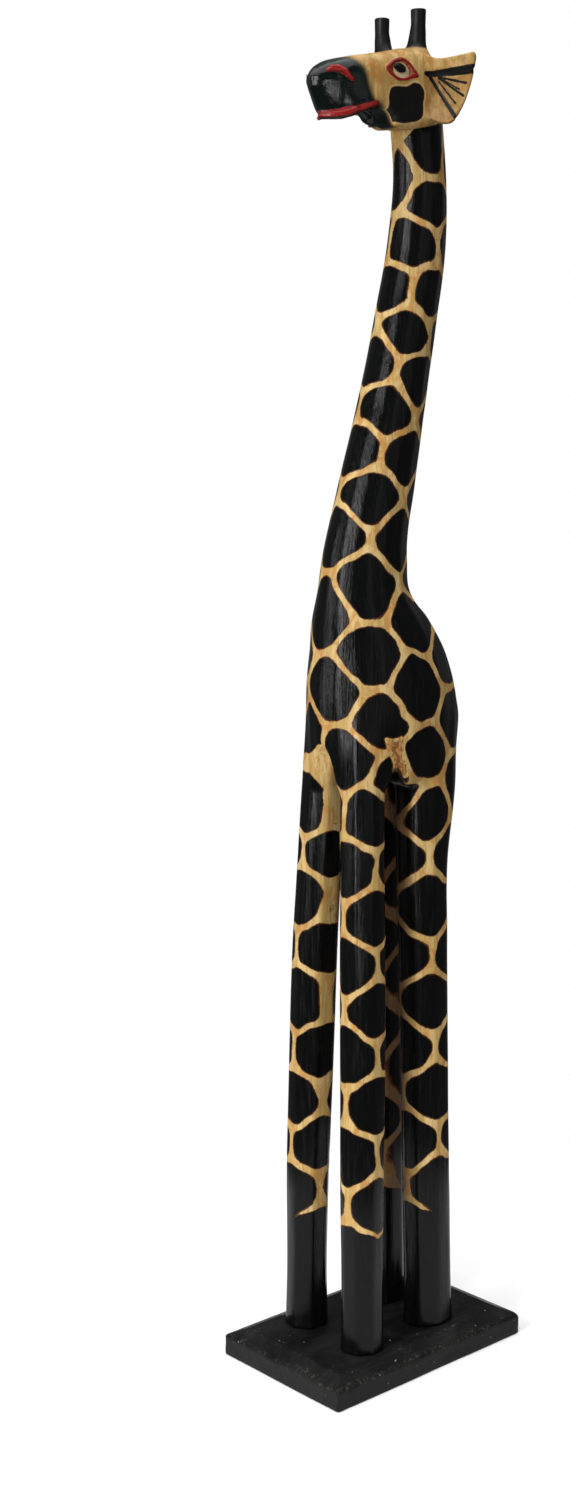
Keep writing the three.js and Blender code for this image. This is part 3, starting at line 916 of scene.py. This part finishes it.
def hide_material():
    paint = Paint("painted hide", Specular_IOR_Level=0.14)
    gold, grain = gold_wood(paint)
    black, streaks = black_paint(paint)
    wobble = paint.spots((1.6, 1.6, 2.2), 2)
    edge = paint.plus(paint.known("patch"), paint.ramp(wobble, 0.3, 0.7, -0.16, 0.16))
    broken = paint.spots((2.2, 2.2, 4.5), 4, 0.7, 0.6)
    # Painted shade: the gold darkens to brown on the legs' inner faces and in the side hollows.
    between = paint.times(paint.known("painted_shade_inner"), paint.ramp(broken, 0.2, 0.6, 1.0, 0.86))
    gold = paint.mix(between, gold, PAINTED_SHADE_BROWN)
    colour = paint.mix(paint.ramp(edge, -0.5, 0.05), gold, RIM_BROWN)
    colour = paint.mix(paint.ramp(edge, 0.25, 0.75), colour, black)
    bare = paint.plus(paint.known("bare"), paint.ramp(wobble, 0.3, 0.7, -1.2, 1.2))
    bare_wood = paint.mix(paint.ramp(broken, 0.42, 0.62), BARE_DARK, BARE_LIGHT)
    exposed = paint.times(paint.ramp(bare, -0.5, 1.5), paint.ramp(broken, 0.25, 0.42))
    colour = paint.mix(exposed, colour, bare_wood)
    painted = paint.ramp(edge, -0.3, 0.3)
    satin = paint.blend(painted, paint.ramp(grain, 0.3, 0.7, 0.34, 0.46), 0.15)
    satin = paint.plus(satin, paint.ramp(streaks, 0.3, 0.75, -0.04, 0.14))
    roughness = paint.blend(exposed, satin, 0.85)
    splinters = paint.times(broken, exposed)
    height = paint.weighed((grain, 0.55), (painted, 0.5), (streaks, 0.6), (splinters, 2.5))
    return paint.finish(colour, roughness, height, 0.22)


def face_material():
    paint = Paint("painted face", Specular_IOR_Level=0.22)
    gold, grain = gold_wood(paint, FACE_GOLD_LIGHT, FACE_GOLD, 0.8)
    black, _ = black_paint(paint)
    wobble = paint.spots((1.4, 1.4, 1.8), 2)
    shake = paint.ramp(wobble, 0.3, 0.7, -0.12, 0.12)
    names = ("cheek", "red", "cream", "pupil", "stroke", "horn")
    edges = {name: paint.plus(paint.known(name), shake) for name in names}
    muzzle = paint.known("muzzle")
    dust = paint.spots((4, 4, 5), 4, 0.65)
    axes = paint.node("SeparateXYZ", {"Vector": paint.place}).outputs
    # Painted highlight: the muzzle's dark green turns a lighter green-grey towards its top, where
    # light falls on it; random green flecks are mixed in as well.
    muzzle_lit_top_and_flecks = paint.mix(paint.ramp(axes["Z"], 0.864, 0.872), MUZZLE_BLACK, MUZZLE_GREEN_LIT_AND_FLECKS)
    muzzle_lit_top_and_flecks = paint.mix(paint.ramp(dust, 0.5, 0.8, 0, 0.3), muzzle_lit_top_and_flecks, MUZZLE_GREEN_LIT_AND_FLECKS)
    colour = paint.mix(paint.ramp(muzzle, -3.4, 1.6), gold, muzzle_lit_top_and_flecks)
    # Painted shade: the gold inside each ear's hollow darkens to brown.
    ear_cup_shade = paint.times(paint.known("ear"), paint.ramp(dust, 0.3, 0.7, 0.9, 0.5))
    colour = paint.mix(ear_cup_shade, colour, EAR_SHADE_BROWN)
    corner = paint.mix(paint.ramp(dust, 0.4, 0.6), CORNER_RED, CORNER_ORANGE)
    red = paint.mix(paint.ramp(dust, 0.45, 0.75), RED, RED_DARK)
    red = paint.mix(paint.ramp(paint.known("eye"), 2.0, 2.6), red, corner)
    # Each coat: its outline, where it starts and is full, how opaque it is, and its colour.
    for name, start, full, opacity, coat in (
        ("cheek", -1.5, -0.9, 0.55, GOLD_LIGHT),
        ("cheek", -0.3, 0.1, 1, RIM_BROWN),
        ("cheek", 0.2, 0.6, 1, black),
        ("red", -0.15, 0.2, 1, red),
        ("cream", -0.15, 0.25, 1, CREAM),
        ("cream", 0.4, 1.2, 0.35, CREAM_LIGHT),
        ("pupil", -0.9, -0.3, 0.6, IRIS_BROWN),
        ("pupil", -0.1, 0.2, 1, BLACK),
        ("stroke", -0.35, 0.15, 1, BLACK),
        ("horn", -1.2, -0.2, 0.7, RED_DARK),
        ("horn", -0.2, 0.3, 1, black),
    ):
        colour = paint.mix(paint.ramp(edges[name], start, full, 0, opacity), colour, coat)
    gloss = [paint.ramp(edges[name], -0.2, 0.3) for name in ("red", "cream")]
    gloss = paint.math("MAXIMUM", *gloss, paint.ramp(muzzle, 1, 4))
    roughness = paint.blend(gloss, paint.ramp(grain, 0.3, 0.7, 0.36, 0.5), 0.13)
    coats = [paint.ramp(edges[name], -0.2, 0.3, 0, 0.35) for name in names[:-1]]
    height = paint.plus(paint.times(grain, 0.5), *coats, paint.times(dust, 0.2))
    return paint.finish(colour, roughness, height, 0.2)


def lacquer_material():
    paint = Paint("black lacquer", Specular_IOR_Level=0.2)
    black, streaks = black_paint(paint)
    return paint.finish(black, paint.ramp(streaks, 0.3, 0.75, 0.26, 0.42), streaks, 0.12)


def plinth_material():
    paint = Paint("black plinth", Specular_IOR_Level=0.1)
    grain = paint.spots((2.2, 34, 2.2), 4, 0.62, 0.35)
    cloud = paint.spots((26, 40, 20), 4, 0.55, 0.5)
    colour = paint.mix(paint.ramp(cloud, 0.35, 0.7), *PLINTH_BLACKS)
    colour = paint.mix(paint.ramp(grain, 0.5, 0.8, 0, 0.6), colour, PLINTH_GRAIN)
    worn = paint.plus(paint.known("edge"), paint.ramp(cloud, 0.3, 0.7, -0.5, 0.5))
    chips = paint.spots((3, 3, 3), 5, 0.75, 0.4)
    rubbed = paint.times(paint.ramp(worn, 0.35, 1.1), paint.ramp(chips, 0.52, 0.62))
    colour = paint.mix(paint.times(rubbed, 0.45), colour, PLINTH_RUBBED)
    fleck = paint.ramp(paint.spots((2.6, 2.6, 2.6), 2, 0.4), 0.74, 0.76)
    colour = paint.mix(paint.times(fleck, 0.7), colour, PLINTH_FLECK)
    roughness = paint.ramp(cloud, 0.3, 0.7, 0.34, 0.55)
    height = paint.weighed((grain, 0.8), (rubbed, -0.8), (fleck, 0.8))
    return paint.finish(colour, roughness, height, 0.3)


def plain_material(name, grain_of, edges, colours, roughness, depth_mm, **constants):
    """Two colours mixed along one grain, for the pegs and screws inside."""
    paint = Paint(name, **constants)
    grain = paint.spots(*grain_of)
    colour = paint.mix(paint.ramp(grain, *edges), *colours)
    return paint.finish(colour, paint.ramp(grain, 0.3, 0.7, *roughness), grain, depth_mm)


# -------- the plinth and the tail

PLINTH_SIDE = 15.0  # the height of its upright sides
PLINTH_BEVEL = 11.0
EDGE_WEAR = 0.3  # how much its sharp edges are rounded off
SIDE_RADIUS, TOP_RADIUS = 1.6, 1.4  # of its corners, seen from above
SIDE_STEPS = [(1.2, 0), (0.35, 0.4), (0, 1.3), (0, 4), (0, 8), (0, 12), (0, PLINTH_SIDE - 1.2)]
RING_STEPS = (58, 40)  # points on a long side and on a short side
CORNER_STEPS = (22.5, 45, 67.5)
RECESS_RADIUS = 4.4
RECESS_DEPTH = 3.25
TAIL_RINGS, TAIL_SIDES = 90, 20


def rectangle_ring(half_x, half_y, radius):
    """Points round a rectangle with rounded corners, the same number for any size."""
    flat_x, flat_y = half_x - radius, half_y - radius
    ring = []
    for quarter, (c, s) in enumerate(((1, 0), (0, 1), (-1, 0), (0, -1))):
        for t in np.linspace(-1, 1, RING_STEPS[quarter % 2]):
            ring.append((c * half_x - s * flat_x * t, s * half_y + c * flat_y * t))
        for step in CORNER_STEPS:
            angle = math.radians(90 * quarter + step)
            x, y = (c - s) * flat_x, (c + s) * flat_y
            ring.append((x + radius * math.cos(angle), y + radius * math.sin(angle)))
    return np.array(ring)


def ring_faces(rings, width):
    """The quads between one ring of points and the next, and the two end caps."""
    around = np.arange(width)
    after = np.roll(around, -1)
    band = np.stack([around, after, after + width, around + width], 1)
    faces = [quad for ring in range(rings - 1) for quad in (band + ring * width).tolist()]
    last = (rings - 1) * width
    return [*faces, (around + last).tolist(), around[::-1].tolist()]


def plinth_mesh():
    """A board with bevelled edges, as rings from the middle of its underside to its top's."""
    half_x, half_y, top = np.array(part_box("plinth")[1]) / MM
    rings = [(half_x * t, half_y * t, 0, 0.5) for t in (0.02, 0.25, 0.5, 0.75, 0.95)]
    steps = list(SIDE_STEPS)
    bevel_low, bevel_high = PLINTH_SIDE - 0.2, top - 0.4
    for t in (0.04, 0.12, 0.3, 0.5, 0.7, 0.88, 0.96):
        inset = EDGE_WEAR + (PLINTH_BEVEL - EDGE_WEAR) * t
        steps.append((inset, bevel_low + (bevel_high - bevel_low) * t))
    rings += [(half_x - inset, half_y - inset, z, SIDE_RADIUS) for inset, z in steps]
    for inset, z in ((PLINTH_BEVEL + 0.4, top - 0.12), (PLINTH_BEVEL + TOP_RADIUS, top)):
        rings.append((half_x - inset, half_y - inset, z, TOP_RADIUS))
    flat_x, flat_y, _, _ = rings[-1]
    for t in (0.93, 0.82, 0.68, 0.52, 0.36, 0.2, 0.05):
        rings.append((flat_x * t, flat_y * t, top, 0.5))
    loops = []
    for x, y, z, radius in rings:
        flat = rectangle_ring(x, y, min(radius, 0.4 * x))
        loops.append(np.column_stack([flat, np.full(len(flat), z)]))
    points = np.concatenate(loops)
    x, y, z = points.T.copy()
    # The worn edges: round the top of the sides, and round the flat top.
    rim = np.maximum(np.abs(x) - half_x + 3, np.abs(y) - half_y + 3)
    edge = np.exp(-((z - top) / 0.5) ** 2) * ease(-12, -7, rim)
    edge = np.maximum(edge, np.exp(-((z - PLINTH_SIDE) / 1.6) ** 2))
    swell = wander(points, (45, 45, 30), 31) * 0.35 + wander(points, (7, 7, 7), 32) * 0.14
    swell -= np.maximum(wander(points, (6, 6, 6), 33) - 0.35, 0) * 1.6 * edge
    swell = np.minimum(swell, 0.15)
    outward = np.column_stack([x / half_x, y / half_y])
    share = np.max(np.abs(outward), axis=1)[:, None]
    direction = np.where(np.abs(outward) >= share - 0.02, np.sign(outward), 0)
    points[:, :2] += direction * swell[:, None] * ease(0.93, 1, share)
    lift = ease(PLINTH_SIDE - 1, PLINTH_SIDE + 2, z)
    points[:, 2] += lift * np.minimum(swell, 0) * 0.8
    mesh = new_mesh("plinth_board", points, ring_faces(len(loops), len(loops[0])))
    store(mesh, "edge", edge)
    return mesh


def sink_screw_heads(board):
    """Cuts the four round recesses that the screw heads sit in, under the feet."""
    cutter_mesh = bpy.data.meshes.new("cutter")
    radius = RECESS_RADIUS * MM
    size = {"radius1": radius, "radius2": radius, "depth": 2 * RECESS_DEPTH * MM}
    with editing(cutter_mesh) as work:
        for stations, side in product(LEGS.values(), (1, -1)):
            made = bmesh.ops.create_cone(work, cap_ends=True, segments=32, **size)
            _, x, y, _, _ = stations[0]
            bmesh.ops.translate(work, verts=made["verts"], vec=(side * x * MM, y * MM, 0))
    cutter = add_object("cutter", cutter_mesh)
    cut = board.modifiers.new("recesses", "BOOLEAN")
    cut.operation = "DIFFERENCE"
    cut.solver = "EXACT"
    cut.object = cutter
    graph = bpy.context.evaluated_depsgraph_get()
    done = bpy.data.meshes.new_from_object(board.evaluated_get(graph))
    board.modifiers.clear()
    board.data = done
    bpy.data.objects.remove(cutter)


def tail_mesh():
    """A flat braid lying down the rump, with a tuft at its end."""
    low, high = (corner[2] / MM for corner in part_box("tail"))
    heights = np.linspace(low, high, TAIL_RINGS)
    _, middle, length, _ = along(TRUNK, heights)
    points = []
    for z, rump in zip(heights, middle + length):
        share = (z - low) / (high - low)
        tuft = 1.8 * math.exp(-(((share - 0.13) / 0.09) ** 2))
        width = 3.1 - 0.9 * share + tuft
        width *= min(1, 6 * share + 0.25) * min(1, 12 * (1 - share) + 0.3)
        braid = 0.35 * math.sin(share * 60) if share > 0.25 else 0
        thickness = 2.2 * min(1, 8 * share + 0.3) * min(1, 10 * (1 - share) + 0.2)
        sink = 2.8 * ease(0.84, 1, share)
        for k in range(TAIL_SIDES):
            angle = 2 * math.pi * k / TAIL_SIDES
            groove = 1 - 0.14 * math.cos(3 * angle) ** 2
            out = thickness * math.cos(angle) * groove
            points.append(((width + braid) * math.sin(angle), rump + 0.8 - sink + out, z))
    mesh = new_mesh("tail_braid", np.array(points), ring_faces(TAIL_RINGS, TAIL_SIDES))
    with editing(mesh) as work:
        bmesh.ops.recalc_face_normals(work, faces=work.faces)
    return mesh


# -------- making the giraffe

HIDE = hide_material()
FACE = face_material()
COARSE = 1.0

trunk_net = carve(
    figure_form, figure, (-52, -66, FLOOR_OF_FEET - 4), (52, 74, NECK_END + 6), 2.4 * COARSE
)
body = cut_piece("trunk", *trunk_net, [plane(2, LEG_JOINT, -1)])
figure_paint(body)
add_piece(body, HIDE, "painted_hide", "neck_and_body")
for end, side in product(LEGS, ("left", "right")):
    planes = [
        plane(2, LEG_JOINT, 1),
        plane(0, 0, -1 if side == "left" else 1),
        plane(1, BETWEEN_PAIRS, 1 if end == "front" else -1),
    ]
    mesh = cut_piece(f"carved_leg_{end}_{side}", *trunk_net, planes)
    figure_paint(mesh)
    add_piece(mesh, HIDE, "painted_hide", f"leg_{end}_{side}")

head_net = carve(head_form, head, (-56, -66, 826), (56, 66, 912), 1.25 * COARSE)
EAR_CUT = 28.2
HORN_CUT = 888.5
head_cuts = {
    "head": [plane(0, EAR_CUT, 1), plane(0, -EAR_CUT, -1), plane(2, HORN_CUT, 1)],
    "ear_left": [plane(0, EAR_CUT, -1)],
    "ear_right": [plane(0, -EAR_CUT, 1)],
    "horn_left": [plane(2, HORN_CUT, -1), plane(0, 0, -1)],
    "horn_right": [plane(2, HORN_CUT, -1), plane(0, 0, 1)],
}
for node, planes in head_cuts.items():
    mesh = cut_piece(f"carved_{node}", *head_net, planes)
    head_paint(mesh)
    slot = "black_lacquer" if node.startswith("horn") else "painted_hide"
    add_piece(mesh, FACE, slot, node)

board = add_piece(plinth_mesh(), plinth_material(), "plinth_black", "plinth", crease=60)
sink_screw_heads(board)
add_piece(tail_mesh(), lacquer_material(), "black_lacquer", "tail", crease=60)

plain = {
    "dowel": plain_material(
        "bare wood", ((0.7, 0.7, 14), 4, 0.6, 0.3), (0.35, 0.7), PALE_WOOD, (0.65, 0.85), 0.15
    ),
    "screw": plain_material(
        "zinc plate", ((0.8, 0.8, 0.8), 3), (0.3, 0.7), ZINC, (0.25, 0.42), 0.04, Metallic=1.0
    ),
}
for name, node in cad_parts.items():
    for word, look in plain.items():
        if word in name:
            for socket in node.material_slots:
                socket.material = look

# -------- floor and light

# A round table top, so that the black paint doesn't mirror a whole room of pale floor.
FLOOR_RADIUS = 400.0
PALE = (0.9, 0.9, 0.9, 1)
table_top = Paint("pale floor", Base_Color=PALE, Roughness=0.9, Specular_IOR_Level=0.1)
angles = np.arange(96) * 2 * np.pi / 96
rim = np.column_stack([np.cos(angles), np.sin(angles), 0 * angles]) * FLOOR_RADIUS
floor = add_object("floor", new_mesh("floor", rim, [list(range(96))]))
floor.data.materials.append(table_top.material)


def softbox(name, azimuth, distance, height, width, tall, power, aim=0.5):
    """An area light that faces the statue's middle line at the height of aim."""
    data = bpy.data.lights.new(name, "AREA")
    data.shape = "RECTANGLE"
    data.size, data.size_y = width, tall
    data.energy = power
    pitch = math.degrees(math.atan2(height - aim, distance))
    stand(add_object(name, data), azimuth, distance, height, pitch)


softbox("key", 10, 1.9, 0.88, 0.3, 1.64, 30)
softbox("left fill", -32, 2.0, 0.8, 0.2, 1.3, 8)
softbox("right fill", 82, 2.2, 0.9, 1.2, 1.6, 3.4)
softbox("low window", 47, 1.9, 0.12, 0.24, 0.22, 2.8, aim=0.85)

overhead_data = bpy.data.lights.new("overhead", "SUN")
overhead_data.energy = 3.3
overhead_data.angle = math.radians(75)
overhead = add_object("overhead", overhead_data)
overhead.rotation_euler = (math.radians(8), math.radians(6), 0)

# The room is dim, and the camera sees it as a white backdrop.
world = bpy.data.worlds.new("studio")
world.use_nodes = True
bpy.context.scene.world = world
nodes, links = world.node_tree.nodes, world.node_tree.links
seen = nodes.new("ShaderNodeLightPath").outputs["Is Camera Ray"]
brightness = nodes.new("ShaderNodeMapRange")
brightness.inputs["To Min"].default_value = 0.14
brightness.inputs["To Max"].default_value = 1.0
links.new(seen, brightness.inputs["Value"])
links.new(brightness.outputs["Result"], nodes["Background"].inputs["Strength"])
nodes["Background"].inputs["Color"].default_value = (1, 1, 1, 1)
bpy.context.scene.view_settings.view_transform = "Standard"
